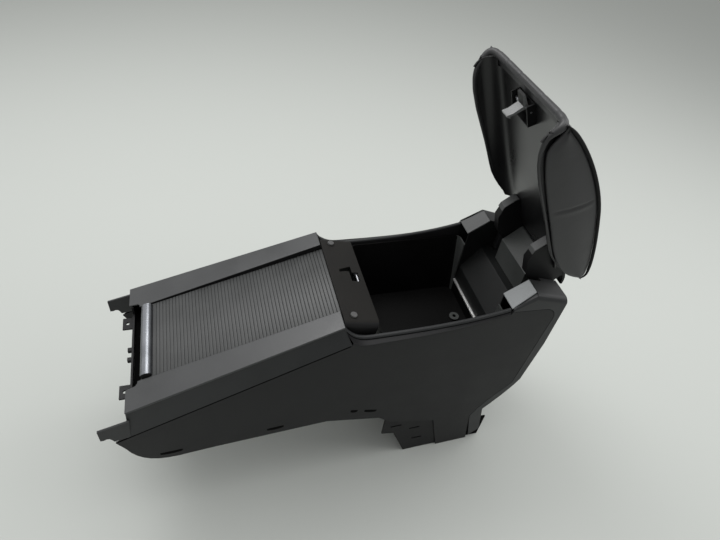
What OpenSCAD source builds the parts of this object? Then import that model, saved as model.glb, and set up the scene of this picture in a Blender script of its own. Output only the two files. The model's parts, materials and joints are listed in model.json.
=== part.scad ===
// Rear centre console of a car: a ribbed roller shutter, a storage bin and a padded, hinged armrest lid.
// All sizes are in millimetres. Stations run rearward from the tips of the front lugs, along the length.
// Heights run up from the surface that the feet stand on. The lid is drawn closed and then swung open.

/* [Side panels] */
// Half width over the front lugs
front_half_w = 120; // [118:0.5:122]
// Angle by which each side panel leans in towards the rear
toe_deg = 1.35; // [1.2:0.05:1.5]
// Wall thickness of the side panels, trims and covers
panel_t = 2.8; // [2:0.2:3.4]
// Height of the tip of the front lug
lug_z = 264; // [258:1:270]
// Depth of the front lug at its tip
lug_h = 23; // [18:1:28]
// Height of the panel's parting line at its front end
parting_front_z = 229; // [224:1:234]
// Height of the parting line where it meets the bin
parting_rear_z = 364; // [360:1:367]
// Height of the panel's lower edge under the shutter
belly_z = 158; // [150:1:166]
// Height at which the foot begins
foot_top_z = 98; // [90:1:106]
// Station of the front of the foot
foot_s = 550; // [544:1:556]
// Length of the foot
foot_l = 64; // [56:1:70]
// Width of the gap between two panels that meet
seam = 0.8; // [0.5:0.1:1.2]

/* [Front deck] */
// Station of the rear end of the deck rails
deck_s = 336.5; // [334:0.5:337]
// Height of the rear end of the deck rails
deck_z = 391; // [389:0.5:392]
// Slope of the deck
deck_deg = 18.6; // [18:0.2:19.2]
// Length of a deck rail along the slope
rail_l = 314; // [308:1:320]
// Half width over the rails at their front end
rail_front_half_w = 114.7; // [112:0.1:116]
// Half width over the rails at their rear end
rail_rear_half_w = 100.3; // [99:0.1:101]
// Thickness of a rail
rail_t = 3; // [2.4:0.2:3.6]
// Depth of the lip along a rail's inner edge
rail_lip = 9; // [8:0.5:10]
// Half width of the opening between the rails
gap_half_w = 69; // [68:0.2:70]
// Length of the notch in a rail's front inner corner
notch_l = 17; // [12:1:22]

/* [Shutter] */
// Length of the ribbed curtain that shows
curtain_l = 276; // [262:1:282]
// Thickness of a curtain slat
slat_t = 2.4; // [2:0.1:2.8]
// Distance between two slats
slat_pitch = 5.2; // [4.8:0.1:6.5]
// Angle between the curtain and the rails
curtain_deg = 1.25; // [1:0.05:1.4]
// Depth of the curtain under the rails at its rear end
curtain_drop = 8; // [7.6:0.1:8.6]
// Width of the handle bar, front to rear
handle_w = 12; // [10:0.5:14]
// Height of the handle bar over its lath
handle_h = 8; // [6:0.5:9]
// Half length of the handle bar
handle_half_l = 67; // [62:0.5:67.5]

/* [Cup tray] */
// Height of the tray's floor
tray_floor_z = 262; // [256:1:268]
// Wall thickness of the tray
tray_t = 2; // [1.6:0.2:2.6]
// Radius of a cup well
cup_r = 37; // [32:0.5:40]
// Depth of a cup well under the tray's floor
cup_depth = 26; // [18:1:34]
// Distance between the two cup wells
cup_pitch = 84; // [82:1:90]

/* [Bridge] */
// Length of the bridge panel between the shutter and the bin
bridge_l = 53; // [48:1:54]
// Fall of the bridge panel towards the bin
bridge_deg = 12; // [10:0.5:14]
// Half width of the bridge panel
bridge_half_w = 91; // [88:0.5:91.5]
// Radius of the bridge panel's rounded ends
bridge_r = 10; // [6:0.5:14]
// Thickness of the bridge panel
bridge_t = 2.5; // [2:0.1:3]
// Depth of the bridge panel's ends
bridge_h = 24; // [20:0.5:26]
// Sideways place of the rubber stops
stop_y = 75.6; // [70:0.2:78]
// Radius of a rubber stop
stop_r = 5; // [3.5:0.5:6.5]

/* [Bin] */
// Height of the bin's rim at its lowest
rim_z = 366; // [364:0.5:366.5]
// Rise of the rim towards the rear
rim_rise = 17.5; // [14:0.5:18]
// Half width over the crest of the rim
rim_half_w = 103; // [102:0.2:103.5]
// Radius of the rim's rolled edge
rim_r = 3; // [2.4:0.1:3.4]
// Station of the bin's rear wall
bin_rear_s = 591; // [586:1:594]
// Height of the bin's floor
bin_floor_z = 252; // [240:1:258]
// Half width inside the bin at the rim
bin_half_w = 94; // [92:0.5:95]
// Half width inside the bin at the floor
bin_floor_half_w = 74; // [70:0.5:78]
// Wall thickness of the bin
bin_t = 2.4; // [2:0.1:2.8]
// Radius of the screw hole in the bin's floor
bin_hole_r = 2.8; // [2:0.1:3.4]

/* [Rear] */
// Height of the crown behind the pads
crown_z = 409; // [406:0.5:411]
// Station of the crown
crown_s = 627; // [624:0.5:629]
// Height of the rear cover's upper rear edge
rear_edge_z = 389; // [385:0.5:392]
// Station of the rear cover's upper rear edge
rear_edge_s = 685; // [682:0.5:688]
// Half width of the bay between the shoulders
bay_half_w = 69.5; // [69:0.1:70.5]
// Thickness of the grey pads
pad_t = 3; // [2:0.2:4]

/* [Hinge and lid] */
// Station of the hinge
hinge_s = 666.5; // [665:0.5:668]
// Height of the hinge
hinge_z = 382.4; // [381:0.2:383]
// Radius of the hinge pin
pin_r = 4; // [3:0.1:5]
// Angle between the closed and the open lid
lid_open_deg = 68; // [60:1:72]
// Half width of the lid
lid_half_w = 103.5; // [102:0.1:104]
// Width of each padded wing
wing_w = 8.2; // [7.6:0.1:8.6]
// Thickness of the lid liner
liner_t = 2.5; // [2:0.1:3]
// Height of the liner's inner face with the lid closed
liner_z = 398.7; // [396:0.1:399.4]
// Sideways place of the hinge arms
arm_y = 44; // [43:0.5:46]
// Width of a hinge arm
arm_w = 14; // [11:0.5:14.5]
// Inner radius of the drum behind the hinge
drum_r = 33.6; // [33:0.1:34.4]
// Thickness of the drum
drum_t = 4; // [3:0.2:4.6]
// Station of the latch hook with the lid closed
latch_s = 378; // [377:0.2:379]
// Sideways place of the latch hook
latch_y = 3; // [1:0.5:5]
// Width of the latch hook
latch_w = 15; // [11:0.5:17]

/* [Fastening] */
// Half distance between the front screw holes
tab_y = 63.4; // [60:0.2:66]
// Station of the front screw holes
tab_s = 33.4; // [31:0.2:35]
// Height of the front screw tabs' upper face
tab_z = 267; // [264:0.5:270]
// Radius of the front screw holes
tab_hole_r = 2.75; // [2.2:0.05:3.2]

/* [Hidden] */
$fn = 48;

fit = 0.3;
run_fit = 0.06;
eps = 1;
big = 900;
lid_out_r = drum_r + drum_t;
total_l = hinge_s + lid_out_r;
far_w = front_half_w + 10;
left = -1;
right = 1;
lug_root_s = 34;
deck_front_z = deck_z - rail_l * sin(deck_deg);
deck_front_s = deck_s - rail_l * cos(deck_deg);
parting_s = deck_s + 9.5;
rim_flat_s = deck_s + 43.5;
rim_end_s = bin_rear_s - 1;
rim_drop = 9;
rim_cap = 12;
flare_l = rim_flat_s - deck_s;
flare_h = deck_z - rim_z - 1;
bridge_s = deck_s + 2.5;
bridge_z = deck_z - 3;
bin_front_s = bridge_s + bridge_l * cos(bridge_deg) + 3;
knuckle_y = arm_y + arm_w + 1;
stop_x = 16;
strip_z = 275;
step_s = bin_rear_s + 5;
step_z = strip_z + 32;

// Half width of a side panel's outer face at a station
function half_w(s) = front_half_w - s * tan(toe_deg);
// Height of the deck plane at a station, a given depth under the rails
function deck_at(s, depth = 0) = deck_z + (s - deck_s) * tan(deck_deg) - depth / cos(deck_deg);
// Height of the parting line between side trim and side panel
function parting_at(s) = parting_front_z
    + (parting_rear_z - parting_front_z) * (s - lug_root_s / 2) / (parting_s - lug_root_s / 2);
// Height of the rim: level in the middle, swept up at both ends
function rim_at(s) = s < rim_flat_s
    ? rim_z + flare_h * pow((rim_flat_s - s) / flare_l, 3)
    : rim_z + rim_rise * pow((s - rim_flat_s) / (rim_end_s - rim_flat_s), 3);
// Half width over the crest of the rim, which narrows at the deck
function rim_w_at(s) = s < rim_flat_s
    ? rim_half_w - (rim_half_w - rail_rear_half_w) * pow((rim_flat_s - s) / flare_l, 2)
    : rim_half_w;
// Height of the rim's outer lower edge, where it meets the side panel; it stays low where the rim climbs the deck
function rim_low_at(s) = (s < rim_flat_s ? min(rim_at(s), parting_at(parting_s) + rim_cap) : rim_at(s))
    - rim_drop;
// Stations along the rim from its front end, closer together where it sweeps down
function rim_stations(s0) = concat(spread(s0, rim_flat_s, 8),
    [for (i = [1:10]) rim_flat_s + (rim_end_s - rim_flat_s) * i / 10]);
// Height of the curtain's plane at a station, a given depth under its upper face
function curtain_at(s, depth = 0) = deck_z - curtain_drop * cos(deck_deg)
    + (s - deck_s - curtain_drop * sin(deck_deg)) * tan(deck_deg - curtain_deg)
    - depth / cos(deck_deg - curtain_deg);
// Points of an arc in the plane
function arc(c, r, a0, a1, n) = [for (i = [0:n]) let (a = a0 + (a1 - a0) * i / n) c + r * [cos(a), sin(a)]];
// Points of a cubic curve between two ends with two handles, without its last point
function curve(a, b, c, d, n) = [for (i = [0:n - 1]) let (t = i / n, u = 1 - t)
    u * u * u * a + 3 * u * u * t * b + 3 * u * t * t * c + t * t * t * d];
// Values spread evenly between two ends
function spread(a, b, n) = [for (i = [0:n]) a + (b - a) * i / n];

// The model's origin lies under the middle of its length
module place() { translate([-total_l / 2, 0, 0]) children(); }

// A side view drawn as stations and heights, made into a wall between two sideways places
module wall(pts, y0, y1) {
    translate([0, y1, 0]) rotate([90, 0, 0]) linear_extrude(y1 - y0) polygon(pts);
}

// The same piece on the left or on the right
module on_side(side) {
    if (side == left) mirror([0, 1, 0]) children();
    else children();
}

// Frame of a side panel: its outer face lies at y = 0 and its thickness towards -y
module panel_frame() { translate([0, front_half_w, 0]) rotate([0, 0, -toe_deg]) children(); }

// Frame of the deck: x runs along the slope from the rails' rear end, z lies across it
module deck_frame() { translate([deck_s, 0, deck_z]) rotate([0, -deck_deg, 0]) children(); }

// Frame of the shutter's curtain: its upper face lies at z = 0
module curtain_frame() { deck_frame() translate([0, 0, -curtain_drop]) rotate([0, curtain_deg, 0]) children(); }

// Frame of the bridge panel: x runs rearward from its front edge, z is square to its upper face
module bridge_frame() { translate([bridge_s, 0, bridge_z]) rotate([0, bridge_deg, 0]) children(); }

// Swings the lid's pieces from closed to open
module lid_frame() {
    translate([hinge_s, 0, hinge_z]) rotate([0, lid_open_deg, 0]) translate([-hinge_s, 0, -hinge_z]) children();
}

// A solid skinned over a row of sections that have the same number of points each, turning
// anticlockwise when seen against the direction of the row
module skin(sections) {
    m = len(sections);
    n = len(sections[0]);
    points = [for (section = sections) for (p = section) p];
    sides = [for (j = [0:m - 2]) for (i = [0:n - 1]) let (k = (i + 1) % n)
        each [[j * n + i, (j + 1) * n + k, j * n + k], [j * n + i, (j + 1) * n + i, (j + 1) * n + k]]];
    ends = [[for (i = [0:n - 1]) i], [for (i = [n - 1:-1:0]) (m - 1) * n + i]];
    polyhedron(points, concat(sides, ends), convexity = 6);
}

// Side panels

foot_corner = [foot_s + foot_l, 0];
slit_top = [foot_s + foot_l - 14, foot_top_z - 12];
heel = [foot_s + foot_l + 22, 27];
waist = [foot_s + foot_l + 8, 103];
back_low = [rear_edge_s - 12, 185];
back_mid = [rear_edge_s - 2, 283];
corner_r = 24;
corner_c = [rear_edge_s - 13 - corner_r, rear_edge_z - 14 - corner_r];

// The lower edge of a side panel, from its foot forward to its lug
function panel_low() = [[foot_s, 0], [foot_s - 25, foot_top_z], [foot_s - 112, foot_top_z + 28],
    [foot_s - 136, foot_top_z + 50], [foot_s - 228, belly_z + 14], [150, belly_z + 6]];

// The front of the lower edge, a soft curve from the belly up to the lug
function panel_nose() = concat(
    curve([110, belly_z + 3], [60, belly_z - 4], [38, belly_z + 10], [26, parting_front_z - 20], 8),
    [[26, parting_front_z - 20], [lug_root_s / 2, parting_front_z - seam]]);

// The upper edge of a side panel, under the trim and then under the rim
function panel_top() = concat(
    [for (s = [lug_root_s, parting_s - eps]) [s, parting_at(s) - seam]],
    [for (s = rim_stations(parting_s + eps)) [s, rim_low_at(s) - fit]],
    [[rim_end_s + 2, rim_low_at(rim_end_s) + 6]]);

// Slots for clips near the lower edge: station, height, length and tilt of each
clip_slots = [[68, 172, 32, 2], [226, 181, 26, 4], [360, 187, 12, -14], [384, 180, 22, -18]];
clip_slot_h = 4;
module side_panel(side) {
    color([0.17, 0.17, 0.175]) place() on_side(side) panel_frame() difference() {
        wall(concat(panel_top(), slit_line(0), panel_low(), panel_nose()), -panel_t, 0);
        for (slot = clip_slots) translate([slot[0], -2 * panel_t, slot[1]]) rotate([0, -slot[3], 0])
            cube([slot[2], 3 * panel_t, clip_slot_h]);
    }
}

// Side trims, the bands between the rails and the side panels, each with its lug

trim_n = 6;
function trim_top_w(s) = rail_front_half_w + (rail_rear_half_w - rail_front_half_w) * (s - deck_front_s)
    / (deck_s - deck_front_s) - 0.8;
// Section of the band at one station, leaning out from the rail down to the parting line
function trim_section(s, s_low) = [
    [s, trim_top_w(s), deck_at(s, rail_t + fit)],
    [s, trim_top_w(s) - panel_t, deck_at(s, rail_t + fit)],
    [s_low, half_w(s_low) - panel_t, parting_at(s_low)],
    [s_low, half_w(s_low), parting_at(s_low)]];

module side_trim(side) {
    color([0.2, 0.2, 0.2]) place() on_side(side) {
        skin([for (i = [0:trim_n]) trim_section(
            deck_front_s + 1 + (deck_s - 1 - deck_front_s) * i / trim_n,
            lug_root_s + 3 + (parting_s - lug_root_s - 3) * i / trim_n)]);
        panel_frame() wall(concat([[0, lug_z], [0, lug_z - lug_h]],
            curve([4, lug_z - lug_h], [14, lug_z - lug_h + 6], [14, parting_front_z + 10],
                [lug_root_s / 2 + 1, parting_at(lug_root_s / 2)], 6),
            [[lug_root_s + 4, parting_at(lug_root_s + 4)], [deck_front_s + 4, deck_front_z - 14]]), -panel_t, 0);
    }
}

// Lower brackets, set back behind the panels, with slots for the trim clips

bracket_l = 130;
slot_l = 20;
slot_h = 4;
module lower_bracket(side) {
    color([0.14, 0.14, 0.145]) place() on_side(side) panel_frame() difference() {
        wall([[foot_s - 121, foot_top_z + 70], [foot_s - 121, foot_top_z - 16], [foot_s - 98, foot_top_z - 22],
            [foot_s - 67, 0], [foot_s - 121 + bracket_l, 0], [foot_s - 121 + bracket_l, foot_top_z + 70]],
            -2 * panel_t - fit, -panel_t - fit);
        for (slot = [[foot_s - 68, 78], [foot_s - 56, 38], [foot_s - 106, 98]])
            translate([slot[0], -3 * panel_t, slot[1]]) cube([slot_l, 4 * panel_t, slot_h]);
    }
}

// Deck rails

lip_t = 2;
module deck_rail(side) {
    color([0.32, 0.32, 0.34]) place() on_side(side) deck_frame() {
        translate([0, 0, -rail_t]) linear_extrude(rail_t) polygon([
            [-rail_l, rail_front_half_w], [-rail_l, gap_half_w + 9], [-rail_l + notch_l - 3, gap_half_w + 7],
            [-rail_l + notch_l, gap_half_w + 4], [-rail_l + notch_l, gap_half_w], [0, gap_half_w],
            [0, rail_rear_half_w]]);
        translate([-rail_l + notch_l, gap_half_w, -rail_lip]) cube([rail_l - notch_l, lip_t, rail_lip - 1]);
    }
}

// Front carrier: a cross wall with two posts under the rails, two screw tabs and two small clips

carrier_s = 42;
carrier_t = 3;
carrier_rise = 8;
carrier_low = 26;
tab_l = 16;
tab_half_w = 11;
tab_t = 3;
clip_y = [-14, 4];
clip_w = 6;
module front_carrier() {
    end_y = trim_top_w(carrier_s) - panel_t + 0.5;
    post_y = gap_half_w + 6;
    color([0.12, 0.12, 0.13]) place() difference() {
        union() {
            wall([[carrier_s, tab_z - carrier_low], [carrier_s + carrier_t, tab_z - carrier_low],
                [carrier_s + carrier_t, tab_z + carrier_rise], [carrier_s, tab_z + carrier_rise]], -end_y, end_y);
            for (side = [left, right]) {
                on_side(side) wall([[carrier_s, tab_z], [carrier_s + carrier_t, tab_z],
                    [carrier_s + carrier_t, deck_at(carrier_s + carrier_t, rail_t + fit)],
                    [carrier_s, deck_at(carrier_s, rail_t + fit)]], post_y, trim_top_w(carrier_s) - panel_t - 2);
                translate([carrier_s - tab_l, side * tab_y - tab_half_w, tab_z - tab_t])
                    cube([tab_l + eps, 2 * tab_half_w, tab_t]);
            }
            for (y = clip_y) translate([carrier_s - clip_w, y, tab_z]) cube([clip_w + eps, clip_w, clip_w]);
        }
        for (side = [left, right]) translate([tab_s, side * tab_y, tab_z - 2 * tab_t])
            cylinder(r = tab_hole_r, h = 3 * tab_t);
    }
}

// Shutter tracks: ledges under the curtain's edges, each with a web beside the rail's lip

ledge_w = 7;
ledge_t = 2;
web_h = 18;
track_l = rail_l - notch_l - 4;
module track(side) {
    color([0.09, 0.09, 0.09]) place() on_side(side) curtain_frame() {
        translate([-track_l, gap_half_w - fit - ledge_w, -slat_t - fit - ledge_t]) cube([track_l, ledge_w, ledge_t]);
        translate([-track_l, gap_half_w - fit - lip_t, -slat_t - fit - web_h]) cube([track_l, lip_t, web_h]);
    }
}

// Cup tray: an open box under the curtain with two round wells in its floor

tray_half_w = gap_half_w - fit - lip_t - fit;
tray_front_s = deck_front_s + 26;
tray_rear_s = deck_s - 58;
tray_top = slat_t + 2 * fit + ledge_t;
well_s = tray_front_s + tray_t + cup_r + 6;
module cup_tray() {
    color([0.1, 0.1, 0.1]) place() difference() {
        union() {
            wall([[tray_front_s, tray_floor_z], [tray_rear_s, tray_floor_z],
                [tray_rear_s, curtain_at(tray_rear_s, tray_top)],
                [tray_front_s, curtain_at(tray_front_s, tray_top)]], -tray_half_w, tray_half_w);
            for (i = [0, 1]) translate([well_s + i * cup_pitch, 0, tray_floor_z - cup_depth])
                cylinder(r = cup_r + tray_t, h = cup_depth + eps);
        }
        wall([[tray_front_s + tray_t, tray_floor_z + tray_t], [tray_rear_s - tray_t, tray_floor_z + tray_t],
            [tray_rear_s - tray_t, deck_z], [tray_front_s + tray_t, deck_z]],
            -tray_half_w + tray_t, tray_half_w - tray_t);
        for (i = [0, 1]) translate([well_s + i * cup_pitch, 0, tray_floor_z - cup_depth + tray_t])
            cylinder(r = cup_r, h = cup_depth + tray_t);
    }
}

// Shutter: a curtain of slats on a thin web, a plain lath at its front end and the handle on the lath

curtain_half_w = gap_half_w - 0.8;
groove_w = 0.9;
groove_h = 0.8;
slat_n = floor(curtain_l / slat_pitch);
lath_l = 17;
module shutter_curtain() {
    profile = concat([[0, -slat_t], [-slat_n * slat_pitch, -slat_t]],
        [for (i = [slat_n:-1:1]) let (x = -i * slat_pitch) each [[x, -groove_h], [x + groove_w / 2, 0],
            [x + slat_pitch - groove_w / 2, 0]]], [[0, -groove_h]]);
    color([0.35, 0.355, 0.355]) place() curtain_frame() wall(profile, -curtain_half_w, curtain_half_w);
}
module shutter_lath() {
    color([0.13, 0.13, 0.135]) place() curtain_frame()
        translate([-slat_n * slat_pitch - fit - lath_l, -curtain_half_w, -slat_t])
        cube([lath_l, 2 * curtain_half_w, slat_t - 0.4]);
}
module shutter_handle() {
    r = handle_w / 2;
    color([0.75, 0.76, 0.78]) place() curtain_frame()
        translate([-slat_n * slat_pitch - fit - lath_l / 2, 0, -0.4])
        wall(concat([[-r, 0], [r, 0]], [for (p = arc([0, 0], r, 25, 155, 12)) [p[0] * 1.02, p[1] - r + handle_h]]),
            -handle_half_l, handle_half_l);
}

// Bridge panel between the shutter and the bin, with its striker and rubber stops

slot_s = 17;
slit_s = 36.5;
slit_l = 9.5;
slit_half_w = latch_w / 2 + 1.5;
function bridge_half() = concat(arc([bridge_half_w - bridge_r, -bridge_r], bridge_r, 90, 0, 8),
    [[bridge_half_w, -bridge_h], [bridge_half_w - bridge_t, -bridge_h]],
    arc([bridge_half_w - bridge_r, -bridge_r], bridge_r - bridge_t, 0, 90, 8));
module bridge_section() {
    half = bridge_half();
    polygon(concat(half, [for (i = [len(half) - 1:-1:0]) [-half[i][0], half[i][1]]]));
}
module bridge_panel() {
    color([0.22, 0.215, 0.205]) place() bridge_frame() difference() {
        rotate([90, 0, 90]) linear_extrude(bridge_l) bridge_section();
        translate([0, 0, -2 * bridge_t]) linear_extrude(3 * bridge_t)
            polygon([[slot_s, latch_y + 15], [slit_s, latch_y + 22], [slit_s, latch_y + slit_half_w],
                [slit_s + slit_l, latch_y + slit_half_w], [slit_s + slit_l, latch_y - slit_half_w],
                [slit_s, latch_y - slit_half_w], [slot_s, latch_y - 8]]);
    }
}
module bump_stops() {
    stop_h = 3.2;
    color([0.28, 0.28, 0.28]) place() bridge_frame() for (side = [left, right])
        translate([stop_x, side * stop_y, 0]) cylinder(r = stop_r, h = stop_h);
}
bar_r = 2;
bar_x = slit_s + slit_l - 1;
bar_drop = 5;
module striker() {
    leg_w = 4;
    half = slit_half_w + 1;
    color([0.7, 0.7, 0.72]) place() bridge_frame() {
        translate([bar_x, latch_y - half, -bar_drop]) rotate([-90, 0, 0]) cylinder(r = bar_r, h = 2 * half);
        for (y = [latch_y - half - leg_w + 0.5, latch_y + half - 0.5])
            translate([bar_x - bar_r - 1, y, -bar_drop - bar_r - 1])
            cube([2 * bar_r + 2, leg_w, bar_drop + bar_r + 1 - bridge_t - fit]);
    }
}

// Rim mouldings: a rolled crest, a shoulder down to the side panel and a skirt down into the bin

skirt_z = rim_z - 9;
crest_n = 8;
function rim_section(s, s_low) = let (w = rim_w_at(s), z = rim_at(s), low = half_w(s_low), z_low = rim_low_at(s_low))
    concat([[s_low, low, z_low], [s_low, low, z_low + 2.4], [s, w + 0.5, z - rim_r - 1.6]],
        [for (p = arc([w - rim_r, z - rim_r], rim_r, 0, 180, crest_n)) [s, p[0], p[1]]],
        [[s, w - 2 * rim_r, skirt_z], [s, w - 2 * rim_r + panel_t - 1, skirt_z],
        [s, w - 2 * rim_r + panel_t - 1, z - rim_r - 3], [s_low, low - panel_t, z_low]]);
module rim(side) {
    tops = rim_stations(deck_s + fit);
    lows = rim_stations(parting_s + eps);
    color([0.24, 0.24, 0.25]) place() on_side(side)
        skin([for (i = [0:len(tops) - 1]) rim_section(tops[i], lows[i])]);
}

// Storage bin: drafted walls, an open top and rear bay, and a screw hole in its floor

bin_r = 14;
bin_top = rim_z - 7;
bin_draft = 3;
bin_hole_inset = 21;
bin_boss_r = 9;
bin_boss_h = 3;
function loop(s0, s1, w, r, z) = [
    for (c = [[s1 - r, w - r, 0], [s0 + r, w - r, 90], [s0 + r, r - w, 180], [s1 - r, r - w, 270]])
        for (p = arc([c[0], c[1]], r, c[2], c[2] + 90, 5)) [p[0], p[1], z]];
module storage_bin() {
    low = bin_floor_z;
    color([0.06, 0.06, 0.06]) place() difference() {
        union() {
            difference() {
                skin([loop(bin_front_s + bin_draft, bin_rear_s + bin_t, bin_floor_half_w + bin_t, bin_r + bin_t,
                    low - bin_t),
                    loop(bin_front_s, bin_rear_s + bin_t, bin_half_w + bin_t, bin_r / 2 + bin_t, bin_top)]);
                skin([loop(bin_front_s + bin_t + bin_draft, bin_rear_s, bin_floor_half_w, bin_r, low),
                    loop(bin_front_s + bin_t, bin_rear_s, bin_half_w, bin_r / 2, bin_top + 0.01)]);
                wall([[bin_rear_s - 1, strip_z - 2], [bin_rear_s + 2 * bin_t, strip_z - 2],
                    [bin_rear_s + 2 * bin_t, rim_z], [bin_rear_s - 1, rim_z]], -bay_half_w, bay_half_w);
            }
            translate([bin_rear_s - bin_hole_inset, 0, low - eps]) cylinder(r = bin_boss_r, h = bin_boss_h + eps);
        }
        translate([bin_rear_s - bin_hole_inset, 0, low - 3 * bin_t]) cylinder(r = bin_hole_r, h = 6 * bin_t);
    }
}

// Rear panel of the bin: a step and a slope up to the hinge, with the walls of the bay

bay_t = 2.5;
bay_end_s = hinge_s - 18;
bay_floor_z = 344.5;
slope_top_s = 628;
module rear_panel() {
    front = bin_rear_s + bin_t + fit;
    color([0.1, 0.1, 0.1]) place() {
        wall([[front, strip_z + 2.5], [step_s, step_z], [slope_top_s, bay_floor_z + bay_t],
            [bay_end_s, bay_floor_z + bay_t], [bay_end_s, bay_floor_z],
            [slope_top_s + 1, bay_floor_z], [step_s + 2, step_z - 3],
            [front + bay_t, strip_z + 2.5]], -bay_half_w - eps, bay_half_w + eps);
        wall([[bay_end_s - eps, bay_floor_z], [rear_edge_s - 4.5, bay_floor_z],
            [rear_edge_s - 4.5, bay_floor_z + bay_t], [bay_end_s - eps, bay_floor_z + bay_t]],
            -knuckle_y - 2, knuckle_y + 2);
        for (side = [left, right]) on_side(side)
            wall([[front, strip_z + 2.5], [front, crown_at(front)], [crown_s, crown_at(crown_s)],
                [bay_end_s, shoulder_at(bay_end_s)], [bay_end_s, bay_floor_z]], bay_half_w, bay_half_w + bay_t);
    }
}
module accent_strip() {
    color([0.6, 0.6, 0.595]) place() translate([bin_rear_s - 0.5, -bay_half_w + fit, strip_z - 2 + fit])
        cube([5, 2 * (bay_half_w - fit), 4]);
}

// Rear cover: cheeks behind the side panels, a curved back, shoulders and the flanges beside the hinge

pad_front_z = 384;
// Heights along the pads' top, their underside and the underside of the shoulders behind them
function pad_at(s) = pad_front_z + (crown_z - pad_front_z) * (s - bin_rear_s) / (crown_s - bin_rear_s);
function crown_at(s) = pad_at(s) - pad_t - fit;
function shoulder_at(s) = crown_z + (rear_edge_z - crown_z) * (s - crown_s) / (rear_edge_s - crown_s) - panel_t - fit;
// The curved back line, from the upper rear edge to the heel, moved forward by an inset
function back_line(inset) = concat([[rear_edge_s - inset, rear_edge_z - inset / 2],
    [back_mid[0] - inset, back_mid[1]], [back_low[0] - inset, back_low[1]]],
    curve([back_low[0] - inset, back_low[1] - 1], [back_low[0] - 10 - inset, 160], [waist[0] + 22 - inset, 130],
        [waist[0] - inset, waist[1]], 5),
    [[waist[0] - inset, waist[1]], [heel[0] - inset, heel[1]]]);
// The line that parts the rear cover from a side panel, moved rearward by an inset
function slit_line(inset) = concat(arc(corner_c, corner_r + inset, 84, 0, 6),
    curve([back_low[0] - 15 + inset, back_low[1] - 8], [back_low[0] - 30 + inset, 155], [waist[0] - 10 + inset, 125],
        [slit_top[0] + inset, slit_top[1]], 5),
    [[slit_top[0] + inset, slit_top[1]], [foot_corner[0] + inset, 0]]);
// A wedge between the two side planes, brought in by an inset
module between_sides(inset) {
    linear_extrude(big) polygon([[0, half_w(0) - inset], [big, half_w(big) - inset],
        [big, inset - half_w(big)], [0, inset - half_w(0)]]);
}
// What is cut off a shoulder's outer edge: sections from the corner to an arc that opens out towards the crown
shoulder_r = 10;
pad_edge_r = 1.5;
shoulder_n = 8;
function shoulder_cut(s, z, r, inset) = let (w = half_w(s) - inset, top = z - inset, q = max(r - inset, 0.2))
    concat([[s, w + eps, top + eps]],
        [for (p = arc([w - q, top - q], q, 90, 0, shoulder_n)) [s, p[0] + 0.01, p[1] + 0.01]]);
module shoulder_edges(inset) {
    fall = (crown_z - rear_edge_z) / (rear_edge_s - crown_s);
    ends = [[bin_rear_s - 4, pad_at(bin_rear_s - 4), pad_edge_r + inset], [crown_s, crown_z, shoulder_r],
        [rear_edge_s + 4, crown_z - fall * (rear_edge_s + 4 - crown_s), shoulder_r]];
    for (side = [left, right]) on_side(side) skin([for (e = ends) shoulder_cut(e[0], e[1], e[2], inset)]);
}
module rear_cover() {
    cheek_s = bin_rear_s + 2;
    cheek_low = rim_low_at(rim_end_s) + 6 + seam;
    flange_y = knuckle_y + 3;
    wall_y = bay_half_w + bay_t + fit;
    color([0.235, 0.24, 0.245]) place() {
        difference() {
            intersection() {
                wall(concat([[cheek_s, cheek_low], [cheek_s, pad_at(cheek_s)], [crown_s, crown_z]], back_line(0),
                    [[foot_corner[0] + 4, 8], slit_top]), -far_w, far_w);
                between_sides(0);
            }
            shoulder_edges(0);
            difference() {
                intersection() {
                    wall(concat([[foot_s, crown_at(foot_s) - panel_t], [crown_s, crown_at(crown_s) - panel_t]],
                        back_line(panel_t), [[foot_corner[0], -eps], [foot_s, -eps]]), -far_w, far_w);
                    between_sides(panel_t);
                }
                shoulder_edges(panel_t);
            }
            wall([[foot_s, crown_at(foot_s)], [crown_s, crown_at(crown_s)], [crown_s, big / 2], [foot_s, big / 2]],
                panel_t + fit - half_w(crown_s), half_w(crown_s) - panel_t - fit);
            wall(concat([[foot_s, 0], [foot_s, cheek_low], [rim_end_s + 2, cheek_low]], slit_line(seam)),
                -far_w, far_w);
            wall([[foot_s, strip_z], [foot_s, crown_at(foot_s) + fit], [crown_s, crown_at(crown_s) + fit],
                [bay_end_s + 2, shoulder_at(bay_end_s + 2) + fit], [bay_end_s + 2, strip_z]], -wall_y, wall_y);
            wall([[foot_s, strip_z], [foot_s, big / 2], [bay_end_s + 2, big / 2], [bay_end_s + 2, strip_z]],
                -bay_half_w, bay_half_w);
            translate([foot_s, -flange_y, bay_floor_z - 0.5]) cube([big, 2 * flange_y, big]);
        }
        for (side = [left, right]) on_side(side) {
            wall([[bay_end_s + 2, bay_floor_z + bay_t + fit], [bay_end_s + 2, shoulder_at(bay_end_s + 2) + 1],
                [rear_edge_s - panel_t + 1, rear_edge_z - panel_t + 1], [rear_edge_s - 2, bay_floor_z]],
                flange_y, flange_y + panel_t);
            wall([[bay_end_s + 2, bay_floor_z + bay_t + fit], [bay_end_s + 2, shoulder_at(bay_end_s + 2) + 1],
                [bay_end_s + 4, shoulder_at(bay_end_s + 4) + 1], [bay_end_s + 4, bay_floor_z + bay_t + fit]],
                flange_y, wall_y);
        }
    }
}

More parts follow.
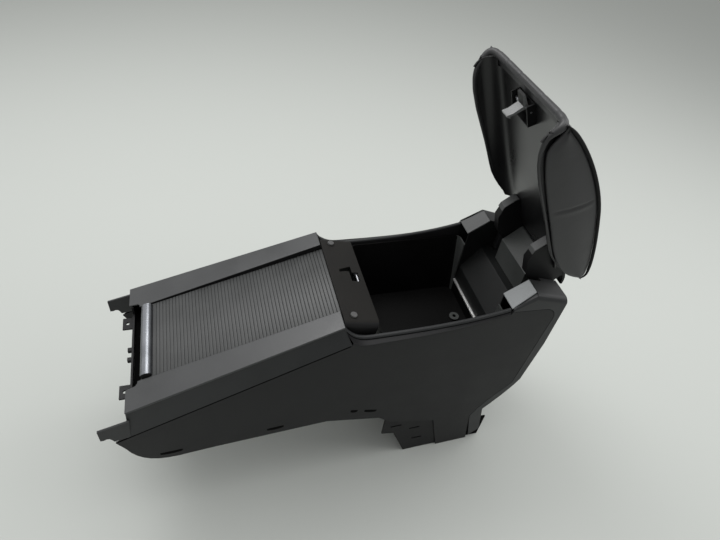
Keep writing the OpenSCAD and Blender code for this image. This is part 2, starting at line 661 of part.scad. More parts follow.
// Grey pads on the sloped corners behind the bin
pad_front_w = half_w(crown_s) - panel_t - fit;
pad_rear_w = half_w(crown_s) - shoulder_r + 1;
module pad(side) {
    color(side == left ? [0.54, 0.55, 0.55] : [0.36, 0.36, 0.37]) place() on_side(side) intersection() {
        wall([[bin_rear_s, pad_front_z], [crown_s, crown_z], [crown_s, crown_z - pad_t],
            [bin_rear_s + 1.5, pad_at(bin_rear_s + 1.5) - pad_t]], bay_half_w, far_w);
        linear_extrude(big) polygon([[bin_rear_s - eps, 0], [crown_s + eps, 0], [crown_s + eps, pad_rear_w],
            [bin_rear_s - eps, pad_front_w]]);
    }
}

// Hinge: a frame on the back wall, the pin through it, and a hood over both

ear_y = 34;
ear_t = 4;
ear_r = 11;
foot_plate_t = 3;
hood_half_w = arm_y - 2;
hood_t = 2;
hood_s = hinge_s - 25.5;
hood_end_s = rear_edge_s - 2;
module hinge_frame() {
    base_z = bay_floor_z + bay_t + fit;
    front = hood_s + hood_t + fit + 4;
    rear = hood_end_s - 2 * hood_t - fit;
    color([0.55, 0.55, 0.56]) place() difference() {
        union() {
            translate([front, -ear_y - ear_t, base_z]) cube([rear - front, 2 * (ear_y + ear_t), foot_plate_t]);
            for (y = [-ear_y - ear_t, ear_y]) {
                wall([[hinge_s - ear_r + 1, hinge_z], [hinge_s + ear_r - 1, hinge_z], [rear, base_z + foot_plate_t],
                    [rear, base_z], [front, base_z], [front, base_z + foot_plate_t]], y, y + ear_t);
                translate([hinge_s, y, hinge_z]) rotate([-90, 0, 0]) cylinder(r = ear_r, h = ear_t);
            }
        }
        translate([hinge_s, -big / 2, hinge_z]) rotate([-90, 0, 0]) cylinder(r = pin_r, h = big);
    }
}
module hinge_pin() {
    color([0.6, 0.6, 0.62]) place() translate([hinge_s, -knuckle_y + 1, hinge_z]) rotate([-90, 0, 0])
        cylinder(r = pin_r - run_fit, h = 2 * (knuckle_y - 1));
}
function hood_line(t) = concat([[hood_s + t, bay_floor_z + bay_t + fit], [hood_s + t, hinge_z + 7.6 - t / 2]],
    arc([hinge_s, hinge_z], drum_r - 0.8 - t, 84, -30, 12), [[hood_end_s - t, bay_floor_z + bay_t + fit]]);
module hinge_cover() {
    color([0.25, 0.26, 0.265]) place() difference() {
        wall(hood_line(0), -hood_half_w, hood_half_w);
        wall(concat([[hood_s + hood_t, bay_floor_z]], hood_line(hood_t), [[hood_end_s - hood_t, bay_floor_z]]),
            -hood_half_w + hood_t, hood_half_w - hood_t);
        translate([hinge_s, -big / 2, hinge_z]) rotate([-90, 0, 0]) cylinder(r = pin_r + 0.5, h = big);
    }
}

// Lid, drawn closed: cushion, core with the hinge arms and the drum, and liner

tip_s = 343;
tip_z = 397;
nose_l = 17;
tail_s = 626;
tail_z = 420;
crest_s = 500;
crest_z = 442.5;
core_t = 3;
core_z = liner_z + liner_t + fit;
pad_low_z = core_z + core_t + fit;
core_end_s = bin_rear_s + 7;
nose_end = tip_s + nose_l + fit;
function lid_top() = concat(
    curve([tip_s, tip_z], [370, 418], [440, crest_z - 1.5], [crest_s, crest_z], 10),
    curve([crest_s, crest_z], [545, crest_z], [590, 437], [tail_s - 5, tail_z + 7], 8),
    [[tail_s - 5, tail_z + 7]]);
function wing_low() = concat(
    curve([tail_s, tail_z], [612, 391], [575, 381.5], [528, 377.6], 8),
    curve([528, 377.6], [475, 374.6], [405, 365], [374, 371.5], 8),
    curve([374, 371.5], [360, 374], [356, 394], [tip_s, tip_z], 6));
module lid_cushion() {
    color([0.165, 0.165, 0.17]) place() lid_frame() {
        wall(concat(lid_top(), [[tail_s, tail_z], [tail_s - 4, tail_z - 7], [tail_s - 14, pad_low_z],
            [tip_s + nose_l, pad_low_z], [tip_s + nose_l, tip_z], [tip_s + 4, tip_z - 1.5]]),
            -lid_half_w + wing_w, lid_half_w - wing_w);
        for (side = [left, right]) on_side(side) wall(concat(lid_top(), wing_low()), lid_half_w - wing_w, lid_half_w);
    }
}
function arm_line() = concat([[core_end_s - 20, core_z + core_t], [core_end_s - 20, core_z - 3],
    [584, 372.6], [599, 360.5], [628, 356.4]],
    arc([hinge_s, hinge_z], 14, -80, 60, 8), arc([hinge_s, hinge_z], drum_r + 1, 95, 150, 5));
module lid_core() {
    inner_w = lid_half_w - wing_w - fit;
    color([0.13, 0.13, 0.135]) place() lid_frame() difference() {
        union() {
            wall([[nose_end, core_z], [core_end_s, core_z], [core_end_s, core_z + core_t],
                [nose_end, core_z + core_t]], -inner_w, inner_w);
            wall([[core_end_s - eps, core_z], [hinge_s - drum_r + 4, core_z],
                [hinge_s - drum_r + 2, core_z + core_t], [core_end_s - eps, core_z + core_t]],
                -knuckle_y, knuckle_y);
            wall(concat(arc([hinge_s, hinge_z], lid_out_r, 149, 58, 14),
                arc([hinge_s, hinge_z], drum_r, 58, 149, 14)), -knuckle_y, knuckle_y);
            for (side = [left, right]) on_side(side) wall(arm_line(), arm_y, arm_y + arm_w);
        }
        translate([hinge_s, -big / 2, hinge_z]) rotate([-90, 0, 0]) cylinder(r = pin_r + run_fit, h = big);
    }
}
// Half of the liner's section: a level middle whose side curves down and ends in an upright skirt
bowl_r = 29;
bowl_flat_w = lid_half_w - wing_w - fit - bowl_r;
lip_drop = 5;
lip_rise_l = 50;
lip_low_z = 360.8;
lip_front = [[356, 366], [351.5, 371.5], [347.5, 379], [346.5, tip_z - 1.5 - 2 * fit]];
function bowl_half() = let (c = [bowl_flat_w, liner_z + liner_t - bowl_r])
    concat(arc(c, bowl_r, 90, 0, 10), [[c[0] + bowl_r, lip_low_z], [c[0] + bowl_r - liner_t, lip_low_z]],
        arc(c, bowl_r - liner_t, 0, 90, 10));
module lid_liner() {
    half = bowl_half();
    rear = hinge_s - drum_r - 1.5;
    top_z = liner_z + liner_t + eps;
    lows = [for (p = wing_low()) if (p[0] > nose_end && p[0] < core_end_s)
        [p[0], max(lip_low_z, p[1] - lip_drop * min(1, (core_end_s - p[0]) / lip_rise_l))]];
    color([0.12, 0.12, 0.125]) place() lid_frame() difference() {
        union() {
            intersection() {
                wall(concat([[core_end_s, top_z], [core_end_s, lows[0][1] + 2]], lows, lip_front,
                    [[nose_end, tip_z - 1.5 - 2 * fit], [nose_end, top_z]]), -lid_half_w, lid_half_w);
                translate([tip_s, 0, 0]) rotate([90, 0, 90]) linear_extrude(core_end_s - tip_s + eps)
                    polygon(concat(half, [for (i = [len(half) - 1:-1:0]) [-half[i][0], half[i][1]]]));
            }
            wall([[core_end_s - eps, liner_z], [rear, liner_z], [rear, liner_z + liner_t],
                [core_end_s - eps, liner_z + liner_t]], eps - bowl_flat_w, bowl_flat_w - eps);
        }
        for (side = [left, right]) on_side(side)
            translate([core_end_s - 20 - fit, arm_y - fit, liner_z - eps])
            cube([big, arm_w + 2 * fit, liner_t + 2 * eps]);
    }
}

// Latch: a housing under the front of the lid with a sprung hook on a pin

housing_l = 30;
housing_h = 12;
housing_w = 44;
housing_t = 2;
housing_s = latch_s - 14;
latch_pin_s = latch_s - 4;
latch_pin_z = liner_z - 6.5;
latch_pin_r = 1.5;
module latch_housing() {
    color([0.1, 0.1, 0.1]) place() lid_frame() difference() {
        translate([housing_s, latch_y - housing_w / 2, liner_z - housing_h]) cube([housing_l, housing_w, housing_h]);
        translate([housing_s - eps, latch_y - housing_w / 2 + housing_t, liner_z - housing_h - eps])
            cube([housing_l - housing_t + eps, housing_w - 2 * housing_t, housing_h - housing_t + eps]);
        translate([latch_pin_s, latch_y - housing_w, latch_pin_z]) rotate([-90, 0, 0])
            cylinder(r = latch_pin_r, h = 2 * housing_w);
    }
}
module latch_pin() {
    color([0.6, 0.6, 0.62]) place() lid_frame()
        translate([latch_pin_s, latch_y - housing_w / 2, latch_pin_z]) rotate([-90, 0, 0])
        cylinder(r = latch_pin_r - run_fit, h = housing_w);
}
// Station and height of the striker bar's axis
bar_s = bridge_s + bar_x * cos(bridge_deg) - bar_drop * sin(bridge_deg);
bar_z = bridge_z - bar_x * sin(bridge_deg) - bar_drop * cos(bridge_deg);
module latch_lever() {
    boss_r = 3.4;
    nose_z = bar_z - bar_r - 0.6;
    shank_s = bar_s - bar_r - 0.6;
    color([0.5, 0.51, 0.51]) place() lid_frame() difference() {
        union() {
            translate([latch_pin_s, latch_y - latch_w / 2, latch_pin_z]) rotate([-90, 0, 0])
                cylinder(r = boss_r, h = latch_w);
            wall([[latch_pin_s - 2, latch_pin_z - 2], [latch_pin_s + 2.8, latch_pin_z], [shank_s, nose_z + 6],
                [shank_s, nose_z], [bar_s + 0.5, nose_z], [shank_s - 0.5, nose_z - 4], [shank_s - 3, nose_z - 4],
                [shank_s - 3, nose_z + 4]], latch_y - latch_w / 2, latch_y + latch_w / 2);
            wall([[latch_pin_s, latch_pin_z + 3], [latch_pin_s, latch_pin_z - 3], [tip_s + 14, latch_pin_z - 3],
                [tip_s + 13, latch_pin_z], [tip_s + 18, latch_pin_z + 1]],
                latch_y - latch_w / 2, latch_y + latch_w / 2);
        }
        translate([latch_pin_s, latch_y - housing_w, latch_pin_z]) rotate([-90, 0, 0])
            cylinder(r = latch_pin_r + run_fit, h = 2 * housing_w);
    }
}
module latch_spring() {
    wire_r = 0.5;
    coil_r = latch_pin_r + wire_r + 0.3;
    color([0.65, 0.65, 0.66]) place() lid_frame()
        translate([latch_pin_s, latch_y + latch_w / 2 + 0.8, latch_pin_z]) rotate([-90, 0, 0]) {
            for (i = [0:5]) translate([0, 0, i * wire_r * 1.8])
                rotate_extrude() translate([coil_r, 0]) circle(r = wire_r);
            translate([coil_r, 0, 0]) rotate([90, 0, 0]) cylinder(r = wire_r, h = latch_pin_r + 2);
        }
}

side_panel(left);  // side_panel_left
side_panel(right);  // side_panel_right
side_trim(left);  // side_trim_left
side_trim(right);  // side_trim_right
lower_bracket(left);  // lower_bracket_left
lower_bracket(right);  // lower_bracket_right
deck_rail(left);  // deck_rail_left
deck_rail(right);  // deck_rail_right
front_carrier();
track(left);  // track_left
track(right);  // track_right
cup_tray();
shutter_curtain();
shutter_lath();
shutter_handle();
bridge_panel();
bump_stops();
striker();
rim(left);  // rim_left
rim(right);  // rim_right
storage_bin();
rear_panel();
accent_strip();
hinge_frame();
hinge_cover();
hinge_pin();
pad(left);  // pad_left
pad(right);  // pad_right
rear_cover();
lid_cushion();
lid_core();
lid_liner();
latch_housing();
latch_lever();
latch_pin();
latch_spring();
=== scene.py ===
import json
import math

import bmesh
import bpy
import numpy as np
from mathutils import Matrix

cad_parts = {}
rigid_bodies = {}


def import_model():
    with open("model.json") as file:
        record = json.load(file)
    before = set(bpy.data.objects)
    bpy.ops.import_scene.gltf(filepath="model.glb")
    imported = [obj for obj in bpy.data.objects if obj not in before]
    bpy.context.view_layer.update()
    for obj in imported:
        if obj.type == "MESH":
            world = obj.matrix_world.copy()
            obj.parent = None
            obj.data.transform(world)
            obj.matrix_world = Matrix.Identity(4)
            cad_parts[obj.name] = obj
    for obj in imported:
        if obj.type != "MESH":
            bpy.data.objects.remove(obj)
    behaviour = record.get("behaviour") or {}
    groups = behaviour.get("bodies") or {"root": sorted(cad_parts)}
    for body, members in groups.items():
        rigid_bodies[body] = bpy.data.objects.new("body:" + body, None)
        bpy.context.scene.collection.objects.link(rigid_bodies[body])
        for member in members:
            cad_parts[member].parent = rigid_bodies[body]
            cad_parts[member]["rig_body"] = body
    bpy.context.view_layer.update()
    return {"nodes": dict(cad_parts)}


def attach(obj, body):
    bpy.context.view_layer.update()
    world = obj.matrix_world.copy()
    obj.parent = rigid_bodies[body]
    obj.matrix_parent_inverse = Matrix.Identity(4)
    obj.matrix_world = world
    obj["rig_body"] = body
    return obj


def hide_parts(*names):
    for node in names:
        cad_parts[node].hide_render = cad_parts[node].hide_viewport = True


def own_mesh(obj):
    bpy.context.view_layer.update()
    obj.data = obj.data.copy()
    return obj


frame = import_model()
print("frame loaded")

# Stations run rearward in millimetres from the tips of the front lugs, as in the part's source
middleStation = 352.05
hingeStation, hingeHeight, openAngle = 666.5, 382.4, math.radians(68)


# Row-frame metres from stations, sideways places and heights in millimetres
def toRow(points):
    points = np.asarray(points, float)
    return (points - np.array([middleStation, 0, 0])) / 1000


# Lid points, drawn closed, swung open about the hinge: a turn in the station-height plane
def swingOpen(points):
    points = np.asarray(points, float)
    s, z = points[..., 0] - hingeStation, points[..., 2] - hingeHeight
    turned = points.copy()
    turned[..., 0] = hingeStation + s * math.cos(openAngle) + z * math.sin(openAngle)
    turned[..., 2] = hingeHeight - s * math.sin(openAngle) + z * math.cos(openAngle)
    return turned


# Materials

# sRGB hex to linear
def linear(colour):
    parts = [int(colour[i:i + 2], 16) / 255 for i in (1, 3, 5)]
    return tuple(p / 12.92 if p <= 0.04045 else ((p + 0.055) / 1.055) ** 2.4 for p in parts) + (1.0,)


# Adds a node: a setting whose name is an input fills that input, and the rest are the node's own properties
def addNode(material, kind, settings=None, links=None):
    node = material.node_tree.nodes.new(kind)
    for name, value in (settings or {}).items():
        if isinstance(name, int) or name in node.inputs:
            node.inputs[name].default_value = value
        else:
            setattr(node, name, value)
    for name, (source, output) in (links or {}).items():
        material.node_tree.links.new(source.outputs[output], node.inputs[name])
    return node


# A material with its Principled shader, whose constant sockets are set directly
def startMaterial(name, settings):
    material = bpy.data.materials.new(name)
    material.use_nodes = True
    shader = material.node_tree.nodes["Principled BSDF"]
    for socket, value in settings.items():
        shader.inputs[socket].default_value = value
    return material, shader


# Sets the stops of a tone ramp: a position and a hex colour each
def setTones(ramp, *stops):
    for stop, (position, colour) in zip(ramp.color_ramp.elements, stops):
        stop.position, stop.color = position, linear(colour)


# Leads tone, gloss and bump to the shader
def wireShader(material, shader, tone, gloss, bump):
    for output, socket in ((tone, "Base Color"), (gloss, "Roughness"), (bump, "Normal")):
        material.node_tree.links.new(output, shader.inputs[socket])


# A moulded plastic: cloudy tone over some centimetres between two colours, a grain of small cells and a
# bump of a given depth from the cells and a finer dust. Cloud, grain and depth are in millimetres. Real
# grains are 0.3 to 1 mm across: each is drawn at 1 to 3 mm, as coarse as it needs to show
def mouldedPlastic(name, colour, pale, roughness, grain, depth, cloud=55, spread=0.05, specular=0.5):
    material, shader = startMaterial(name, {"IOR": 1.5, "Specular IOR Level": specular})
    place = {"Vector": (addNode(material, "ShaderNodeTexCoord"), "Object")}
    clouds = addNode(material, "ShaderNodeTexNoise",
                     {"Scale": 1000 / cloud, "Detail": 3.0, "Roughness": 0.5}, place)
    cells = addNode(material, "ShaderNodeTexVoronoi",
                    {"Scale": 1000 / grain, "feature": "SMOOTH_F1", "Smoothness": 0.4}, place)
    dust = addNode(material, "ShaderNodeTexNoise", {"Scale": 2000 / grain, "Detail": 2.0}, place)
    blend = addNode(material, "ShaderNodeMath", {"operation": "MULTIPLY_ADD", 1: 0.35},
                    {0: (cells, "Distance"), 2: (clouds, 0)})
    tone = addNode(material, "ShaderNodeValToRGB", {}, {"Fac": (blend, 0)})
    setTones(tone, (0.35, colour), (0.85, pale))
    gloss = addNode(material, "ShaderNodeMapRange", {"From Min": 0.3, "From Max": 0.7,
                    "To Min": roughness - spread, "To Max": roughness + spread}, {"Value": (clouds, 0)})
    height = addNode(material, "ShaderNodeMath", {"operation": "MULTIPLY_ADD", 1: 0.25},
                     {0: (dust, 0), 2: (cells, "Distance")})
    bump = addNode(material, "ShaderNodeBump", {"Strength": 0.8, "Distance": depth / 1000},
                   {"Height": (height, 0)})
    wireShader(material, shader, tone.outputs[0], gloss.outputs[0], bump.outputs[0])
    return material


# A plated or painted metal surface: tone changes slowly, gloss and bump follow fine lines, which are drawn
# out along one axis where that axis has the smaller stretch
def metalSurface(name, colour, dark, roughness, metallic, stretch, depth):
    material, shader = startMaterial(name, {"Metallic": metallic})
    place = {"Vector": (addNode(material, "ShaderNodeTexCoord"), "Object")}
    turned = addNode(material, "ShaderNodeMapping", {"Scale": stretch}, place)
    lines = addNode(material, "ShaderNodeTexNoise", {"Scale": 400.0, "Detail": 3.0}, {"Vector": (turned, 0)})
    clouds = addNode(material, "ShaderNodeTexNoise", {"Scale": 30.0, "Detail": 2.0}, place)
    tone = addNode(material, "ShaderNodeValToRGB", {}, {"Fac": (clouds, 0)})
    setTones(tone, (0.35, dark), (0.7, colour))
    gloss = addNode(material, "ShaderNodeMapRange", {"From Min": 0.3, "From Max": 0.7,
                    "To Min": roughness * 0.8, "To Max": roughness * 1.25}, {"Value": (lines, 0)})
    bump = addNode(material, "ShaderNodeBump", {"Strength": 0.5, "Distance": depth / 1000},
                   {"Height": (lines, 0)})
    wireShader(material, shader, tone.outputs[0], gloss.outputs[0], bump.outputs[0])
    return material


# Injection-moulded ABS with a spark-eroded leather grain: nearly black and matte. The real grain is 0.8 mm,
# drawn at 1.6 mm to show
grainedPlastic = mouldedPlastic("GrainedAbs", "#131314", "#1d1d1e", 0.5, 1.6, 0.10, specular=0.22)
# The same ABS with a finer grain, a shade lighter
trimPlastic = mouldedPlastic("FineGrainedAbs", "#1f2021", "#292a2b", 0.46, 1.3, 0.06, specular=0.32)
# Soft satin paint over moulded ABS on the deck rails: grey, with a fine orange peel
railPlastic = mouldedPlastic("SatinPaintedAbs", "#2b2c2d", "#353637", 0.38, 1.5, 0.04, specular=0.5)
# Glass-filled polypropylene of hidden carriers: flat black
blackPlastic = mouldedPlastic("BlackPolypropylene", "#0e0e0f", "#171718", 0.5, 1.8, 0.05, specular=0.2)
# The bin's inside: black, made darker than the other black plastics as painted shade for its deep recess,
# with a grain that hardly shines
binPlastic = mouldedPlastic("MatteBinPolypropylene", "#050505", "#0a0a0a", 0.6, 2.2, 0.08, specular=0.1)
# Painted shade for the unlit cavities behind seams and clip slots: flat black
paintedShadeBlack = mouldedPlastic("FlatBlackPaintedShade", "#020202", "#040404", 0.8, 2.2, 0.02, specular=0.05)
# High-gloss moulded ABS of the lid's liner: black, with long soft highlights
linerPlastic = mouldedPlastic("GlossMouldedAbs", "#121213", "#1b1b1c", 0.3, 3.0, 0.01, cloud=90, spread=0.04,
                              specular=0.4)
# Flocked or soft-touch painted panel: warm grey, dull and slightly sandy
bridgePlastic = mouldedPlastic("SoftTouchPaintedAbs", "#131211", "#1c1b19", 0.7, 1.1, 0.16, specular=0.2)
# Grey moulded acetal of the latch lever
leverPlastic = mouldedPlastic("GreyAcetal", "#6f7070", "#858686", 0.4, 2.0, 0.02)
# Soft-touch elastomer pads of one grey: a lit copy, lighter as painted light, and a shaded copy, darker as
# painted shade
litPadCopy = mouldedPlastic("GreyElastomerLitCopy", "#6e7172", "#7f8283", 0.48, 1.4, 0.05)
shadedPadCopy = mouldedPlastic("GreyElastomerShadedCopy", "#393a3a", "#464747", 0.48, 1.4, 0.05)
# The rear panel and the hinge's cover: plain moulded polypropylene, charcoal and satin. The cover's grey is
# partly its own tone and partly painted light for its upward-facing face
panelPlastic = mouldedPlastic("CharcoalPolypropylene", "#121313", "#1a1b1b", 0.46, 1.8, 0.05, specular=0.22)
coverPlastic = mouldedPlastic("GreyPolypropylene", "#3a3c3b", "#464847", 0.5, 1.6, 0.05, specular=0.35)
# Rubber buffers: matte dark grey
bufferRubber = mouldedPlastic("MouldedRubber", "#474747", "#585858", 0.75, 1.2, 0.06, specular=0.25)
# The shutter's lath: plain satin grey polypropylene
lathPlastic = mouldedPlastic("SatinGreyPolypropylene", "#343535", "#404141", 0.4, 1.6, 0.03, specular=0.4)
# Silver lacquer over ABS: bright, satin, with fine flake
silverPaint = metalSurface("SilverLacquer", "#dededc", "#c9c9c7", 0.34, 0.5, (1, 1, 1), 0.01)
# Chrome-plated ABS of the handle
chromePlate = metalSurface("SatinChromePlate", "#7f8185", "#707276", 0.3, 1.0, (4, 0.2, 4), 0.006)
# Zinc-plated steel of the pins, the striker and the hinge frame
zincSteel = metalSurface("ZincPlatedSteel", "#b9babd", "#94959a", 0.36, 1.0, (3, 0.3, 3), 0.02)


# Smooth polyurethane leatherette: charcoal, satin, with pebbled creases of some millimetres and slow tonal
# drift. Real pebbles are 1 mm across, drawn at 1.9 mm to show
def makeLeatherette():
    material, shader = startMaterial("SmoothLeatherette", {"IOR": 1.48, "Sheen Weight": 0.12,
                                     "Sheen Roughness": 0.5, "Sheen Tint": linear("#8f8f92")})
    place = {"Vector": (addNode(material, "ShaderNodeTexCoord"), "Object")}
    pebbles = addNode(material, "ShaderNodeTexVoronoi",
                      {"Scale": 1000 / 1.9, "feature": "DISTANCE_TO_EDGE"}, place)
    folds = addNode(material, "ShaderNodeTexNoise",
                    {"Scale": 1000 / 28, "Detail": 4.0, "Distortion": 0.4}, place)
    tone = addNode(material, "ShaderNodeValToRGB", {}, {"Fac": (folds, 0)})
    setTones(tone, (0.3, "#232324"), (0.75, "#2d2d2e"))
    gloss = addNode(material, "ShaderNodeMapRange", {"From Min": 0.3, "From Max": 0.7, "To Min": 0.38,
                    "To Max": 0.5}, {"Value": (folds, 0)})
    creases = addNode(material, "ShaderNodeMapRange", {"From Min": 0.0, "From Max": 0.25},
                      {"Value": (pebbles, "Distance")})
    fine = addNode(material, "ShaderNodeBump", {"Strength": 0.35, "Distance": 0.00008},
                   {"Height": (creases, 0)})
    bump = addNode(material, "ShaderNodeBump", {"Strength": 0.5, "Distance": 0.0006},
                   {"Height": (folds, 0), "Normal": (fine, 0)})
    wireShader(material, shader, tone.outputs[0], gloss.outputs[0], bump.outputs[0])
    return material


leatherette = makeLeatherette()
# Matte black vinyl over the piping cord, kept near black as painted shade for the shadow gap along the wings'
# top edges
pipingShadowVinyl = mouldedPlastic("MatteBlackVinylGapShadow", "#0b0b0b", "#121212", 0.62, 1.4, 0.04, specular=0.2)


# Ribbed polypropylene of the shutter's slats: satin grey, with painted shade: darker where the mesh's
# attribute says hollow
def makeSlatPlastic():
    material, shader = startMaterial("RibbedPolypropylene", {"IOR": 1.5, "Specular IOR Level": 0.4})
    place = {"Vector": (addNode(material, "ShaderNodeTexCoord"), "Object")}
    hollow = addNode(material, "ShaderNodeAttribute", {"attribute_name": "hollow"})
    clouds = addNode(material, "ShaderNodeTexNoise", {"Scale": 1000 / 40, "Detail": 3.0}, place)
    grain = addNode(material, "ShaderNodeTexNoise", {"Scale": 1000 / 0.9, "Detail": 2.0}, place)
    crest = addNode(material, "ShaderNodeValToRGB", {}, {"Fac": (clouds, 0)})
    setTones(crest, (0.3, "#393a3a"), (0.75, "#414242"))
    # painted shade: the hollows take this dark grey in place of the crest's tone
    mixed = addNode(material, "ShaderNodeMix", {"data_type": "RGBA", 7: linear("#242424")},
                    {0: (hollow, "Fac"), 6: (crest, 0)})
    gloss = addNode(material, "ShaderNodeMapRange", {"To Min": 0.36, "To Max": 0.5}, {"Value": (clouds, 0)})
    bump = addNode(material, "ShaderNodeBump", {"Strength": 0.4, "Distance": 0.00006}, {"Height": (grain, 0)})
    wireShader(material, shader, mixed.outputs[2], gloss.outputs[0], bump.outputs[0])
    return material


slatPlastic = makeSlatPlastic()
print("materials ready")


# Making pieces

# Links a mesh as an object, gives it its finish, and lets it ride and stand for its nodes
def finishPiece(mesh, name, material, body, replaced=(), bevel=None, smoothAngle=40, second=None):
    piece = bpy.data.objects.new(name, mesh)
    bpy.context.scene.collection.objects.link(piece)
    mesh.materials.clear()
    mesh.materials.append(material)
    # a second finish goes on the faces that a test of their middles picks
    if second:
        mesh.materials.append(second[0])
        middles = np.array([face.center for face in mesh.polygons])
        mesh.polygons.foreach_set("material_index", second[1](middles).astype(np.int32))
    mesh.polygons.foreach_set("use_smooth", np.ones(len(mesh.polygons), bool))
    mesh.set_sharp_from_angle(angle=math.radians(smoothAngle))
    if bevel:
        rounding = piece.modifiers.new("Rounding", "BEVEL")
        rounding.width, rounding.segments, rounding.limit_method = bevel / 1000, 2, "ANGLE"
        rounding.angle_limit = math.radians(38)
        rounding.use_clamp_overlap, rounding.harden_normals = True, True
    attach(piece, body)
    if replaced:
        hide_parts(*replaced)
    return piece


# A piece that stands for no node, under its mesh's name
def addTrim(mesh, material, body, smoothAngle=30, bevel=None):
    return finishPiece(mesh, mesh.name, material, body, (), bevel, smoothAngle)


# A closed surface from a grid of points: rings along the first parameter, each closed round the second. Its
# ends are capped; without caps the last ring repeats the first
def ringSurface(name, grid, capped=True):
    rings, around = grid.shape[:2]
    corner = np.arange(rings * around).reshape(rings, around)
    after = np.roll(corner, -1, axis=1)
    quads = np.stack([corner[:-1], after[:-1], after[1:], corner[1:]], axis=-1).reshape(-1, 4)
    faces = quads.tolist()
    if capped:
        faces += [corner[0, ::-1].tolist(), corner[-1].tolist()]
    mesh = bpy.data.meshes.new(name)
    mesh.from_pydata(grid.reshape(-1, 3).tolist(), [], faces)
    work = bmesh.new()
    work.from_mesh(mesh)
    bmesh.ops.remove_doubles(work, verts=work.verts, dist=1e-5)
    bmesh.ops.dissolve_degenerate(work, edges=work.edges, dist=1e-6)
    bmesh.ops.recalc_face_normals(work, faces=work.faces)
    work.to_mesh(mesh)
    work.free()
    return mesh


# A round tube: circles of a given radius carried along a path, square to it. The circles start from the
# direction that is square to both the path and the given level direction
def tubeSurface(name, path, radius, around=12, level=(0, 1.0, 0)):
    path = np.asarray(path, float)
    along = np.gradient(path, axis=0)
    along /= np.linalg.norm(along, axis=1, keepdims=True)
    side = np.cross(along, np.array(level))
    side /= np.linalg.norm(side, axis=1, keepdims=True)
    other = np.cross(along, side)
    turn = np.linspace(0, 2 * np.pi, around, endpoint=False)[None, :, None]
    radius = np.broadcast_to(np.asarray(radius, float), (len(path),))[:, None, None]
    circles = np.cos(turn) * side[:, None] + np.sin(turn) * other[:, None]
    return ringSurface(name, path[:, None] + radius * circles)


# Points of a cubic curve with two handles, at many parameters at once
def cubic(a, b, c, d, t):
    a, b, c, d = (np.asarray(p, float) for p in (a, b, c, d))
    t = np.asarray(t, float)[:, None]
    return (1 - t) ** 3 * a + 3 * (1 - t) ** 2 * t * b + 3 * (1 - t) * t * t * c + t ** 3 * d


# Evenly spaced points along a line of points
def respaced(points, count, ease=None):
    steps = np.linalg.norm(np.diff(points, axis=0), axis=1)
    reach = np.concatenate([[0], np.cumsum(steps)]) / steps.sum()
    at = np.linspace(0, 1, count) if ease is None else ease
    return np.stack([np.interp(at, reach, points[:, i]) for i in range(points.shape[1])], axis=1)


# A rigid node's own shape, merged and with its flat faces joined, gets rounded edges and its finish
def dressNode(node, material, bevel=0.6, smoothAngle=34, joined=True, second=None):
    source = frame["nodes"][node]
    mesh = source.data.copy()
    mesh.name = node + "Dressed"
    work = bmesh.new()
    work.from_mesh(mesh)
    bmesh.ops.remove_doubles(work, verts=work.verts, dist=2e-6)
    if joined:
        bmesh.ops.dissolve_limit(work, angle_limit=math.radians(0.6), verts=work.verts, edges=work.edges)
    work.to_mesh(mesh)
    work.free()
    if mesh.has_custom_normals:
        mesh.attributes.remove(mesh.attributes["custom_normal"])
    name = "".join([part.capitalize() for part in node.split("_")])
    return finishPiece(mesh, name, material, source["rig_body"], (node,), bevel, smoothAngle, second)


# Rigid nodes: finish, material slot and edge rounding in millimetres
dressing = {
    "side_panel_left": (grainedPlastic, "grained_plastic", 0.9),
    "side_panel_right": (grainedPlastic, "grained_plastic", 0.9),
    "lower_bracket_left": (blackPlastic, "black_plastic", 0.5),
    "lower_bracket_right": (blackPlastic, "black_plastic", 0.5),
    "front_carrier": (blackPlastic, "black_plastic", 0.5),
    "track_left": (blackPlastic, "black_plastic", 0.3),
    "track_right": (blackPlastic, "black_plastic", 0.3),
    "cup_tray": (binPlastic, "black_plastic", 0.6),
    "shutter_lath": (lathPlastic, "black_plastic", 0.4),
    "bump_stops": (bufferRubber, "rubber", 0.7),
    "striker": (zincSteel, "steel", 0.4),
    "rear_panel": (panelPlastic, "black_plastic", 0.8),
    "accent_strip": (silverPaint, "silver_plastic", 0.7),
    "hinge_frame": (zincSteel, "steel", 0.4),
    "hinge_cover": (coverPlastic, "trim_plastic", 0.8),
    "hinge_pin": (zincSteel, "steel", 0.5),
    # painted light and shade: the near pad takes the lit copy of the grey, the far pad the shaded copy
    "pad_left": (litPadCopy, "light_pad", 1.2),
    "pad_right": (shadedPadCopy, "dark_pad", 1.2),
    "rear_cover": (trimPlastic, "trim_plastic", 0.8),
    "lid_core": (blackPlastic, "satin_black", 0.9),
    "lid_liner": (linerPlastic, "satin_black", 1.0),
    "latch_housing": (blackPlastic, "black_plastic", 0.5),
    "latch_pin": (zincSteel, "steel", 0.3),
    "latch_spring": (zincSteel, "steel", None),
}
for node, (material, slot, bevel) in dressing.items():
    dressNode(node, material, bevel)

# Second finishes, by places in metres: black inside the rails' inner walls as painted shade, and black on the
# bridge's turned-down ends and on the lever's thumb tab. The bin's rear wall beside the bay's mouth catches
# the
# light: it takes the cover's lighter finish as painted light
deckGap, bridgeEnd, tabHeight = 0.0702, 0.0868, 0.6608
bayMouth = {"front": 0.2355, "halfWidth": 0.066, "sill": 0.262}


def shadedInnerWall(middles):
    return np.abs(middles[:, 1]) < deckGap


def turnedEnd(middles):
    return np.abs(middles[:, 1]) > bridgeEnd


def thumbTab(middles):
    return middles[:, 2] > tabHeight


